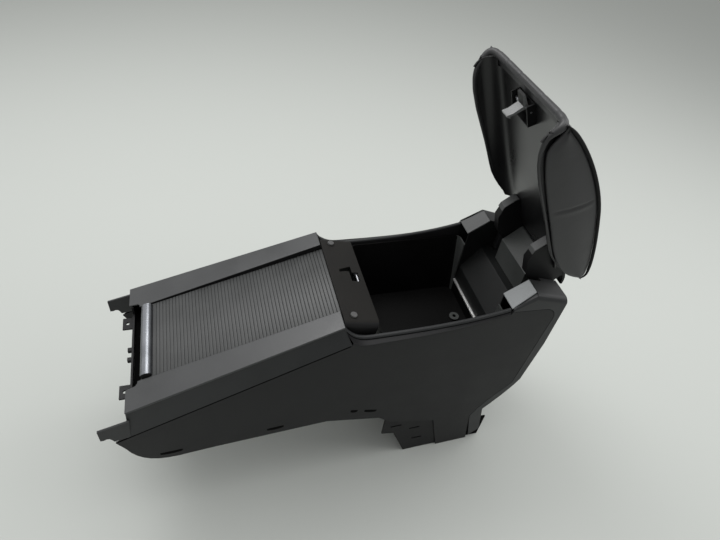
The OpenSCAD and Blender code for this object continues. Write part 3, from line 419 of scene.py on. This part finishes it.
def litBesideBay(middles):
    beside = np.abs(middles[:, 1]) > bayMouth["halfWidth"]
    return beside & (middles[:, 0] > bayMouth["front"]) & (middles[:, 2] > bayMouth["sill"])


for side in ("left", "right"):
    dressNode("deck_rail_" + side, railPlastic, 1.6, second=(blackPlastic, shadedInnerWall))
dressNode("bridge_panel", bridgePlastic, 0.7, second=(blackPlastic, turnedEnd))
dressNode("latch_lever", leverPlastic, 0.5, second=(blackPlastic, thumbTab))
dressNode("storage_bin", binPlastic, None, joined=False, second=(coverPlastic, litBesideBay))

# The rims: a fine bead above a band in the side panels' grain, with a flat black tube in the seam between
# them as painted shade
rimPlan = {"front": 336.8, "flat": 380.0, "end": 590.0, "height": 366.0, "flare": 24.0, "flareLength": 43.5,
           "rise": 17.5, "halfWidth": 103.0, "frontHalfWidth": 100.3, "bead": 3.0, "bandGap": 1.4}
rimSeam = {"frontGap": 2.0, "rearGap": 1.0, "out": 0.35, "drop": 4.1, "radius": 0.6, "points": 90,
           "around": 8}


# How far a station is on the way from the level part to the deck
def flareShare(s):
    return np.clip((rimPlan["flat"] - s) / rimPlan["flareLength"], 0, 1)


# The bead's height: it falls from the deck to the level part and rises to the rear, each by the third power
def rimLine(s):
    after = np.clip((s - rimPlan["flat"]) / (rimPlan["end"] - rimPlan["flat"]), 0, 1)
    return rimPlan["height"] + rimPlan["flare"] * flareShare(s) ** 3 + rimPlan["rise"] * after ** 3


def underBead(middles):
    s, z = middles[:, 0] * 1000 + middleStation, middles[:, 2] * 1000
    return z < rimLine(s) - rimPlan["bead"] - rimPlan["bandGap"]


# The seam's path on one side: the bead's line lowered, and its half width less at the front by a square
def rimSeamPath(side):
    s = np.linspace(rimPlan["front"] + rimSeam["frontGap"], rimPlan["end"] - rimSeam["rearGap"],
                    rimSeam["points"])
    wide = rimPlan["halfWidth"] - (rimPlan["halfWidth"] - rimPlan["frontHalfWidth"]) * flareShare(s) ** 2
    return np.stack([s, side * (wide + rimSeam["out"]), rimLine(s) - rimSeam["drop"]], axis=-1)


for side, name in ((-1, "left"), (1, "right")):
    dressNode("side_trim_" + name, trimPlastic, None, joined=False)
    dressNode("rim_" + name, trimPlastic, None, smoothAngle=50, joined=False,
              second=(grainedPlastic, underBead))
    seam = tubeSurface("RimSeam" + name.capitalize(), toRow(rimSeamPath(side)), rimSeam["radius"] / 1000,
                       rimSeam["around"])
    addTrim(seam, paintedShadeBlack, "root", 60)
print("rigid nodes dressed")


# A plate with upright walls under a flat outline, its corners in order
def plateGrid(outline, top, thick):
    outline = np.asarray(outline, float)
    levels = [np.full(len(outline), level) for level in (top - thick, top)]
    return np.stack([np.column_stack([outline, level]) for level in levels])


# A block between two stations, two sideways places and two heights
def blockGrid(along, across, upright):
    outline = [(along[0], across[0]), (along[1], across[0]), (along[1], across[1]), (along[0], across[1])]
    return plateGrid(outline, upright[1], upright[1] - upright[0])


# Flat black blocks as painted shade inside the front, behind the ends of the side trims and behind the foot's
# slit, so that no floor shows through
shelf = {"along": (45.2, 64.6), "across": (-108.0, 108.0), "upright": (265.0, 267.0)}
backing = {
    "TrimBacking": {"along": (336, 362), "across": (97.4, 99.4), "upright": (340, 360)},
    "SlitBacking": {"along": (598, 640), "across": (99.4, 101.8), "upright": (1, 66)},
}
addTrim(ringSurface("FrontShelf", toRow(blockGrid(**shelf))), paintedShadeBlack, "root", bevel=0.3)
for title, block in backing.items():
    for side, name in ((-1, "Left"), (1, "Right")):
        across = [side * place for place in block["across"]]
        grid = blockGrid(block["along"], across, block["upright"])
        addTrim(ringSurface(title + name, toRow(grid)), paintedShadeBlack, "root")

# Painted shade: flat black lines in the seams between the side trims and the side panels, and flat black
# shields over the panels' clip slots that draw the slots' shadowed openings larger. The panels lean in to the
# rear by their toe angle
panel = {"frontHalfWidth": 120.0, "toe": 1.35}
trimSeam = {"front": (20, 229.8), "rear": (344, 362.8), "sunk": 0.25, "radius": 0.9, "points": 60,
            "around": 8}
clipShadow = {"rise": 4.2, "belly": 2.4, "fullness": 0.6, "sunk": 0.6, "out": 0.25, "points": 14}
clips = [
    {"start": 68, "height": 172, "length": 32, "lean": 2},
    {"start": 226, "height": 181, "length": 26, "lean": 4},
    {"start": 360, "height": 187, "length": 12, "lean": -14},
    {"start": 384, "height": 180, "length": 22, "lean": -18},
]


# Points on a side panel's outer face, from a distance along the panel, a height and a distance outward
def onPanel(side, along, upright, out):
    toe = math.radians(panel["toe"])
    s = along * math.cos(toe) + out * math.sin(toe)
    y = panel["frontHalfWidth"] - along * math.sin(toe) + out * math.cos(toe)
    return toRow(np.stack([s, side * y, upright], axis=-1))


# A slot's painted shadow: a flat black shield, level above and bellied below by a power of half a sine,
# turned by its lean
def clipShadowGrid(side, clip):
    t, lean = np.linspace(0, 1, clipShadow["points"]), math.radians(clip["lean"])
    belly = -clipShadow["belly"] * np.sin(np.pi * t) ** clipShadow["fullness"]
    along = np.concatenate([t, t[::-1]]) * clip["length"]
    above = np.concatenate([np.full(len(t), clipShadow["rise"]), belly[::-1]])
    station = clip["start"] + along * math.cos(lean) - above * math.sin(lean)
    height = clip["height"] + along * math.sin(lean) + above * math.cos(lean)
    return np.stack([onPanel(side, station, height, out) for out in (-clipShadow["sunk"], clipShadow["out"])])


for side, name in ((-1, "Left"), (1, "Right")):
    line = np.linspace(trimSeam["front"], trimSeam["rear"], trimSeam["points"])
    seam = tubeSurface("TrimSeam" + name, onPanel(side, line[:, 0], line[:, 1], -trimSeam["sunk"]),
                       trimSeam["radius"] / 1000, trimSeam["around"])
    addTrim(seam, paintedShadeBlack, "root", 60)
    for number, clip in enumerate(clips, 1):
        shadowShield = ringSurface("ClipShadow" + name + str(number), clipShadowGrid(side, clip))
        addTrim(shadowShield, paintedShadeBlack, "root")

# A worn ring round the screw hole in the bin's floor: circles about the hole, joined into a flat band
bossRing = {"station": 570.0, "floor": 255.0, "inner": 3.2, "outer": 8.8, "rise": 0.5, "lip": 0.6,
            "sunk": 0.4, "edgeSunk": 0.1, "around": 40}
turn = np.linspace(0, 2 * np.pi, bossRing["around"], endpoint=False)
section = [(bossRing["inner"], -bossRing["sunk"]), (bossRing["inner"], bossRing["rise"]),
           (bossRing["outer"] - bossRing["lip"], bossRing["rise"]),
           (bossRing["outer"], -bossRing["edgeSunk"])]
ring = np.stack([np.column_stack([bossRing["station"] + r * np.cos(turn), r * np.sin(turn),
                                  np.full(len(turn), bossRing["floor"] + rise)])
                 for r, rise in section + section[:1]])
addTrim(ringSurface("BossRing", toRow(ring), capped=False), coverPlastic, "root")

# The insert under the bridge's slot: it leaves a crescent beside it and a slit for the hook
bridge = {"station": 339.0, "height": 388.0, "slope": 12.0, "drop": 0.7, "thick": 1.4,
          "insert": [(15.8, -7.2), (32.6, -8.0), (32.6, 15.0), (28, 15.4), (22, 14.6), (15.8, 13.2)]}


# Level points leaned down to the rear about the bridge's front edge
def onBridge(points):
    slope = math.radians(bridge["slope"])
    x, y, z = points[..., 0], points[..., 1], points[..., 2]
    return toRow(np.stack([bridge["station"] + x * math.cos(slope) + z * math.sin(slope), y,
                           bridge["height"] - x * math.sin(slope) + z * math.cos(slope)], axis=-1))


insert = onBridge(plateGrid(bridge["insert"], -bridge["drop"], bridge["thick"]))
addTrim(ringSurface("BridgeInsert", insert), bridgePlastic, "root", bevel=0.4)
print("small root pieces made")


# The shutter's curtain: ribs along the slope, each a flat-topped crown between two round hollows
curtain = {"slats": 53, "pitch": 5.2, "thick": 2.4, "hollow": 0.7, "halfWidth": 68.2, "flatShare": 0.98,
           "edgeDrop": 0.7, "plain": 4.9, "plainShade": 0.1, "perSlat": 12, "keep": 0.13,
           "deckStation": 336.5, "deckHeight": 391.0, "deckSlope": 18.6, "drop": 8.0, "lean": 1.25}
curtainLength = curtain["slats"] * curtain["pitch"]


# Points along and above the curtain's plane, placed on the deck's slope: two turns in the station-height
# plane
def onCurtain(along, sideways, above):
    slope, lean = math.radians(curtain["deckSlope"]), math.radians(curtain["lean"])
    x = along * math.cos(lean) + above * math.sin(lean)
    z = -along * math.sin(lean) + above * math.cos(lean) - curtain["drop"]
    return toRow(np.stack([curtain["deckStation"] + x * math.cos(slope) - z * math.sin(slope), sideways,
                           curtain["deckHeight"] + x * math.sin(slope) + z * math.cos(slope)], axis=-1))


# How far from its slat's middle a point along the curtain lies, from 0 to 1
def fromMiddle(along):
    return np.abs(2 * (along / curtain["pitch"] % 1) - 1)


# The hollows deepen by the ninth power of the distance from a slat's middle, and take painted shade by the
# eighth. The first slat, at the handle, is plain, under a faint even painted shade
def makeCurtain():
    count = curtain["slats"] * curtain["perSlat"] + 1
    along = np.linspace(-curtainLength, 0, count)
    plainEnd = curtain["plain"] - curtainLength
    top = -curtain["hollow"] * np.where(along < plainEnd, 0, fromMiddle(along) ** 9)
    columns = np.array([-1, -curtain["flatShare"], curtain["flatShare"], 1]) * curtain["halfWidth"]
    drop = np.array([curtain["edgeDrop"], 0, 0, curtain["edgeDrop"]])
    upper = onCurtain(np.tile(along[:, None], (1, 4)), np.tile(columns, (count, 1)), top[:, None] - drop)
    under = onCurtain(np.tile(along[:, None], (1, 2)), np.tile(columns[[3, 0]], (count, 1)),
                      np.full((count, 2), -curtain["thick"]))
    mesh = ringSurface("ShutterCurtain", np.concatenate([upper, under], axis=1))
    places = np.zeros(len(mesh.vertices) * 3)
    mesh.vertices.foreach_get("co", places)
    rear, step = onCurtain(0.0, 0.0, 0.0), onCurtain(1.0, 0.0, 0.0) - onCurtain(0.0, 0.0, 0.0)
    along = (places.reshape(-1, 3) - rear) @ step / (step @ step)
    # painted shade: the attribute darkens the slats' hollows, and the plain slat a little
    shade = np.where(along < plainEnd, curtain["plainShade"], fromMiddle(along) ** 8)
    attribute = mesh.attributes.new("hollow", "FLOAT", "POINT")
    attribute.data.foreach_set("value", shade.astype(np.float32))
    piece = finishPiece(mesh, "ShutterCurtain", slatPlastic, "root", ("shutter_curtain",),
                        None, 30)
    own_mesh(piece)


makeCurtain()

# The handle bar: a plated half-round with dark caps at both ends
handle = {"halfLength": 67.2, "capLength": 1.6, "capEase": 4.0, "width": 16.6, "height": 8.0,
          "fullness": 0.62, "endWidth": 0.6, "lath": 17.0, "gap": 0.3, "sunk": 0.4,
          "around": 28, "across": 40}


# A half-round section carried sideways: cosine along, a power of the sine above. Its size eases in at an
# end that has an ease, by a quarter ellipse, and its width follows only in part
def handleGrid(start, end, startEase=0, endEase=0):
    turn = np.linspace(0, np.pi, handle["around"])
    wide = handle["width"] / 2
    along = np.concatenate([np.cos(turn) * wide, np.linspace(-wide, wide, 6)[1:-1]])
    above = np.concatenate([np.sin(turn) ** handle["fullness"] * handle["height"], np.zeros(4)])
    sideways = np.linspace(start, end, handle["across"])[:, None]
    size = np.ones_like(sideways)
    for distance, ease in ((sideways - start, startEase), (end - sideways, endEase)):
        if ease:
            size = np.minimum(size, np.sqrt(1 - np.clip(1 - distance / ease, 0, 0.97) ** 2))
    middle = -curtainLength - handle["gap"] - handle["lath"] / 2
    width = handle["endWidth"] + (1 - handle["endWidth"]) * size
    sideways = np.tile(sideways, (1, len(along)))
    return onCurtain(middle + along * width, sideways, above * size - handle["sunk"])


barEnd = handle["halfLength"] - handle["capLength"]
bar = ringSurface("HandleBar", handleGrid(-barEnd, barEnd))
finishPiece(bar, "HandleBar", chromePlate, "shutter", ("shutter_handle",), None, 50)
capLeft = handleGrid(-handle["halfLength"], -barEnd, startEase=handle["capEase"])
capRight = handleGrid(barEnd, handle["halfLength"], endEase=handle["capEase"])
for name, grid in (("HandleCapLeft", capLeft), ("HandleCapRight", capRight)):
    addTrim(ringSurface(name, grid), blackPlastic, "shutter", 50)
print("shutter made")

# The lid: a padded shell with two thick wings that reach down past the liner. It is drawn closed
lid = {"halfWidth": 103.4, "wing": 8.1, "shoulder": 6.0, "crown": 2.2, "bulge": 2.6, "underside": 404.4,
       "noseUnder": 396.9, "noseLength": 17.0, "leastRise": 0.2, "leastPad": 1.5, "stations": 220}
fold = {"depth": 1.3, "station": 467, "lean": 7, "valley": 1.5, "ridge": 4, "ridgeBack": 5}
noseTip, crest, shoulderPoint, tailTip = (343, 397), (500, 442.5), (619.5, 432), (626, 420)
wingFront, wingMiddle = (374, 371.5), (528, 377.6)


# The lid's side view: its top line and its wings' lower line, each of three cubic curves from the nose to
# the tail
def lidLines(count):
    t = np.linspace(0, 1, 60)
    top = np.concatenate([cubic(noseTip, (370, 418), (440, 441), crest, t),
                          cubic(crest, (545, 442.5), (592, 440.5), shoulderPoint, t)[1:],
                          cubic(shoulderPoint, (625, 430), (627.5, 426), tailTip, t)[1:]])
    low = np.concatenate([cubic(noseTip, (356, 394), (360, 374), wingFront, t),
                          cubic(wingFront, (405, 365), (475, 374.6), wingMiddle, t)[1:],
                          cubic(wingMiddle, (575, 381.5), (612, 391), tailTip, t)[1:]])
    ease = (1 - np.cos(np.linspace(0, np.pi, count))) / 2
    return respaced(top, count, ease), respaced(low, count, ease)


# The cushion's ring at every station: up the inner face, round the lower bead, up the side, over the
# shoulder and the crowned top, down the other side and back along the underside. Side points rise from the
# lower line to the top
def cushionGrid():
    top, low = lidLines(lid["stations"])
    reach = np.linalg.norm(top - low, axis=1)[:, None]
    upward = (top - low) / np.maximum(reach, 1e-6)
    edge = lid["halfWidth"] - lid["bulge"]
    # the bead is half a turn, shrunk where the wing is low
    turn = np.linspace(0, np.pi, 9)[None]
    beadWide = (lid["wing"] - lid["bulge"]) / 2
    beadR = np.minimum(lid["wing"] / 2, reach / 2.2)
    beadY = np.tile(edge - beadWide - np.cos(turn) * beadWide, (lid["stations"], 1))
    beadRise = beadR * (1 - np.sin(turn))
    # the shoulder is a quarter turn
    turn = np.linspace(0, np.pi / 2, 9)[None]
    shoulderR = np.minimum(lid["shoulder"], reach / 2.2)
    shoulderY = edge - shoulderR * (1 - np.cos(turn))
    shoulderRise = reach - shoulderR * (1 - np.sin(turn))
    # the side bulges by half a sine; its one fold is a narrow valley and a soft ridge behind it, as bell
    # curves
    share = np.linspace(0, 1, 14)[None, 1:-1]
    sideRise = beadR + (reach - beadR - shoulderR) * share
    aside = low[:, :1] + (top - low)[:, :1] * share - (fold["station"] + fold["lean"] * share ** 0.6)
    valley = np.exp(-(aside / fold["valley"]) ** 2)
    behind = np.exp(-((aside - fold["ridgeBack"]) / fold["ridge"]) ** 2)
    faded = np.sin(np.pi * np.clip(share, 0.02, 0.98)) ** 0.25
    sideY = edge + lid["bulge"] * np.sin(np.pi * share) - faded * fold["depth"] * (valley - 0.5 * behind)
    columns = []
    for sideways, rise in ((beadY, beadRise), (sideY, sideRise), (shoulderY, shoulderRise)):
        place = low[:, None] + upward[:, None] * rise[..., None]
        height = place[..., 1] - lid["crown"] * rise / np.maximum(reach, 1e-6)
        columns.append(np.stack([place[..., 0], sideways, height], axis=-1))
    # the top is crowned by a parabola
    share = 1 - np.linspace(0, 1, 12)[None, 1:]
    topY = shoulderY[:, -1:] * share
    height = top[:, 1:] - lid["crown"] + lid["crown"] * (1 - share ** 2)
    columns.append(np.stack([np.tile(top[:, :1], (1, topY.shape[1])), topY, height], axis=-1))
    right = np.concatenate(columns, axis=1)
    left = right[:, -2::-1] * np.array([1, -1, 1])
    # the underside runs level over the core and steps down at the nose
    level = np.where(top[:, 0] < noseTip[0] + lid["noseLength"], lid["noseUnder"], lid["underside"])
    least = low[:, 1] + lid["leastRise"]
    level = np.clip(level, least, np.maximum(top[:, 1] - lid["crown"] - lid["leastPad"], least))
    across = np.linspace(-1, 1, 9)[None] * (lid["halfWidth"] - lid["wing"])
    under = np.stack([np.tile(top[:, :1], (1, 9)), np.tile(across, (len(top), 1)),
                      np.tile(level[:, None], (1, 9))], axis=-1)
    return np.concatenate([right, left, under], axis=1), top


grid, topLine = cushionGrid()
cushion = ringSurface("LidCushion", toRow(swingOpen(grid)))
cushionPiece = finishPiece(cushion, "LidCushion", leatherette, "lid", ("lid_cushion",),
                           None, 60)

# Piping round the top edge of each wing, thin where it starts at the nose and ends at the tail. Its near
# black is painted shade for the shadow gap along that edge
piping = {"radius": 2.3, "thin": 0.3, "noseShare": 1 / 14, "tailShare": 1 / 9, "inset": 2.8, "rise": 0.1,
          "points": 160}
ridge = respaced(topLine[2:-2], piping["points"])
share = np.linspace(0, 1, piping["points"])
swell = np.clip(np.minimum(share / piping["noseShare"], (1 - share) / piping["tailShare"]), 0, 1)
pipingR = piping["radius"] / 1000 * (piping["thin"] + (1 - piping["thin"]) * np.sin(np.pi / 2 * swell))
for side, name in ((-1, "Left"), (1, "Right")):
    sideways = np.full(len(ridge), side * (lid["halfWidth"] - piping["inset"]))
    path = np.column_stack([ridge[:, 0], sideways, ridge[:, 1] - lid["crown"] + piping["rise"]])
    cord = tubeSurface("LidPiping" + name, toRow(swingOpen(path)), pipingR)
    addTrim(cord, pipingShadowVinyl, "lid", 60)

# The rolled edge: one line of leatherette round the liner, thick over the front and thinner down both
# sides. Its path is mirrored across the middle and smoothed, and its radius follows the station, with a few
# small pleats
rolledEdge = {"points": 520, "smoothings": 10, "around": 18, "level": (0.31, 0.17, -0.93),
              "radius": [(346, 5.2), (349, 4.3), (355, 3.1), (365, 3.1), (376, 2.5), (440, 2.5), (590, 1.5)],
              "pleats": (-86, -72, -34, 22, 58, 84), "pleatDepth": 0.07, "pleatWidth": 2.6, "pleatEnd": 352}
halfPath = np.array([(590, 93.6, 389.8), (560, 93.8, 379.6), (518, 93.8, 375.0), (466, 93.8, 369.6),
                     (419, 93.8, 364.6), (391, 93.8, 363.6), (374, 93.8, 365.2), (362, 94.2, 369.4),
                     (355, 94.2, 374.4), (350, 95.4, 380.8), (347.4, 96.6, 386.6), (345.6, 96.0, 391.8),
                     (345.0, 91.0, 395.8), (345.9, 83.0, 397.8), (346.6, 70, 399.0), (347.3, 45, 399.6),
                     (347.5, 15, 399.7)])
path = respaced(np.concatenate([halfPath, halfPath[::-1] * np.array([1, -1, 1])]), rolledEdge["points"])
for _ in range(rolledEdge["smoothings"]):
    path[1:-1] = (path[:-2] + path[1:-1] * 2 + path[2:]) / 4
station, sideways = path[:, 0], path[:, 1]
rolledR = np.interp(station, *zip(*rolledEdge["radius"]))
for pleat in rolledEdge["pleats"]:
    bell = np.exp(-((sideways - pleat) / rolledEdge["pleatWidth"]) ** 2)
    rolledR = rolledR * (1 - rolledEdge["pleatDepth"] * bell * (station < rolledEdge["pleatEnd"]))
roll = tubeSurface("LidRolledEdge", toRow(swingOpen(path)), rolledR / 1000, rolledEdge["around"],
                   rolledEdge["level"])
addTrim(roll, leatherette, "lid", 60)

# Webs that close the nose between the liner's corner and the rolled edge: an outline of half widths and
# heights
noseWeb = {"stations": (347.0, 349.5),
           "outline": [(58, 400.5), (84, 399), (94, 396), (98, 388), (98, 379), (94, 376), (91.5, 384),
                       (85, 391), (74, 395.5), (58, 397.5)]}
for side, name in ((-1, "Left"), (1, "Right")):
    outline = np.array(noseWeb["outline"])
    web = np.stack([np.column_stack([np.full(len(outline), s), side * outline[:, 0], outline[:, 1]])
                    for s in noseWeb["stations"]])
    addTrim(ringSurface("NoseWeb" + name, toRow(swingOpen(web))), pipingShadowVinyl, "lid")

# Painted light on the front ends of the hinge arms: pale caps, thin plates bent over the arm's end face where
# the light falls
armLitCap = {"halfWidth": 7.3, "middle": 51.0, "thick": 1.3,
          "face": [(577.4, 397.0), (577.5, 391.5), (583.5, 372.3), (588.5, 368.2)],
          "outward": [(-1, 0), (-1, -0.1), (-0.93, -0.37), (-0.62, -0.78)]}
face = np.array(armLitCap["face"])
outer = face + armLitCap["thick"] * np.array(armLitCap["outward"])
for side, name in ((-1, "Left"), (1, "Right")):
    corners = []
    for y, line in ((-1, face), (1, face), (1, outer), (-1, outer)):
        sideways = np.full(len(line), side * armLitCap["middle"] + y * armLitCap["halfWidth"])
        corners.append(np.column_stack([line[:, 0], sideways, line[:, 1]]))
    cap = ringSurface("ArmLitCap" + name, toRow(swingOpen(np.stack(corners, axis=1))))
    addTrim(cap, shadedPadCopy, "lid", bevel=0.3)
print("lid made")

# Floor, light and camera

floor = {"size": 8.0, "colour": "#b9bcb8", "roughness": 0.9}
half = floor["size"] / 2
ground = bpy.data.meshes.new("Floor")
corners = [(-half, -half, 0), (half, -half, 0), (half, half, 0), (-half, half, 0)]
ground.from_pydata(corners, [], [(0, 1, 2, 3)])
floorPiece = bpy.data.objects.new("Floor", ground)
bpy.context.scene.collection.objects.link(floorPiece)
# Backdrop paper: pale, matte and plain
paper = startMaterial("PaleBackdropPaper", {"Roughness": floor["roughness"],
                      "Base Color": linear(floor["colour"])})[0]
ground.materials.append(paper)

studio = {"colour": "#ebeceb", "strength": 0.58}
world = bpy.data.worlds.new("SoftStudio")
bpy.context.scene.world = world
world.use_nodes = True
sky = world.node_tree.nodes["Background"]
sky.inputs["Color"].default_value = linear(studio["colour"])
sky.inputs["Strength"].default_value = studio["strength"]


# Puts a lamp or a camera at a place, turned by its own right, up and backward directions
def placeTurned(item, place, right, up, back):
    turn = np.stack([right, up, back], axis=1)
    item.matrix_world = Matrix([[*row, at] for row, at in zip(turn, place)] + [[0, 0, 0, 1]])


lamps = {
    "overhead": {"place": (0.2, 0.3, 2.4), "aim": (0, 0, 0.3), "size": 2.0, "power": 26},
    "farLeft": {"place": (-1.4, 0.8, 1.3), "aim": (0.1, 0, 0.3), "size": 1.6, "power": 6},
    "farHigh": {"place": (-0.5, 1.0, 2.1), "aim": (0, 0, 0.35), "size": 0.9, "power": 15},
    "rearRight": {"place": (1.5, -0.1, 1.5), "aim": (0.1, 0, 0.3), "size": 1.5, "power": 13},
}
for name, lamp in lamps.items():
    light = bpy.data.lights.new(name, "AREA")
    light.size, light.energy = lamp["size"], lamp["power"]
    holder = bpy.data.objects.new(name, light)
    bpy.context.scene.collection.objects.link(holder)
    back = np.array(lamp["place"], float) - np.array(lamp["aim"], float)
    back /= np.linalg.norm(back)
    right = np.cross((0, 0, 1.0), back)
    right /= np.linalg.norm(right)
    placeTurned(holder, lamp["place"], right, np.cross(back, right), back)

# The photograph's viewpoint, worked out from symmetric pairs of points
view = {"place": (-0.17305, -0.5423, 0.958), "right": (0.9619, -0.2522, 0.1050),
        "up": (0.1050, 0.6962, 0.7102), "back": (-0.2522, -0.6721, 0.6962), "lens": 27.05, "sensor": 36}
cameraData = bpy.data.cameras.new("Camera")
cameraData.lens, cameraData.sensor_width, cameraData.sensor_fit = view["lens"], view["sensor"], "HORIZONTAL"
camera = bpy.data.objects.new("Camera", cameraData)
bpy.context.scene.collection.objects.link(camera)
placeTurned(camera, view["place"], view["right"], view["up"], view["back"])
bpy.context.scene.camera = camera
bpy.context.scene.view_settings.view_transform = "Standard"

print("scene ready")
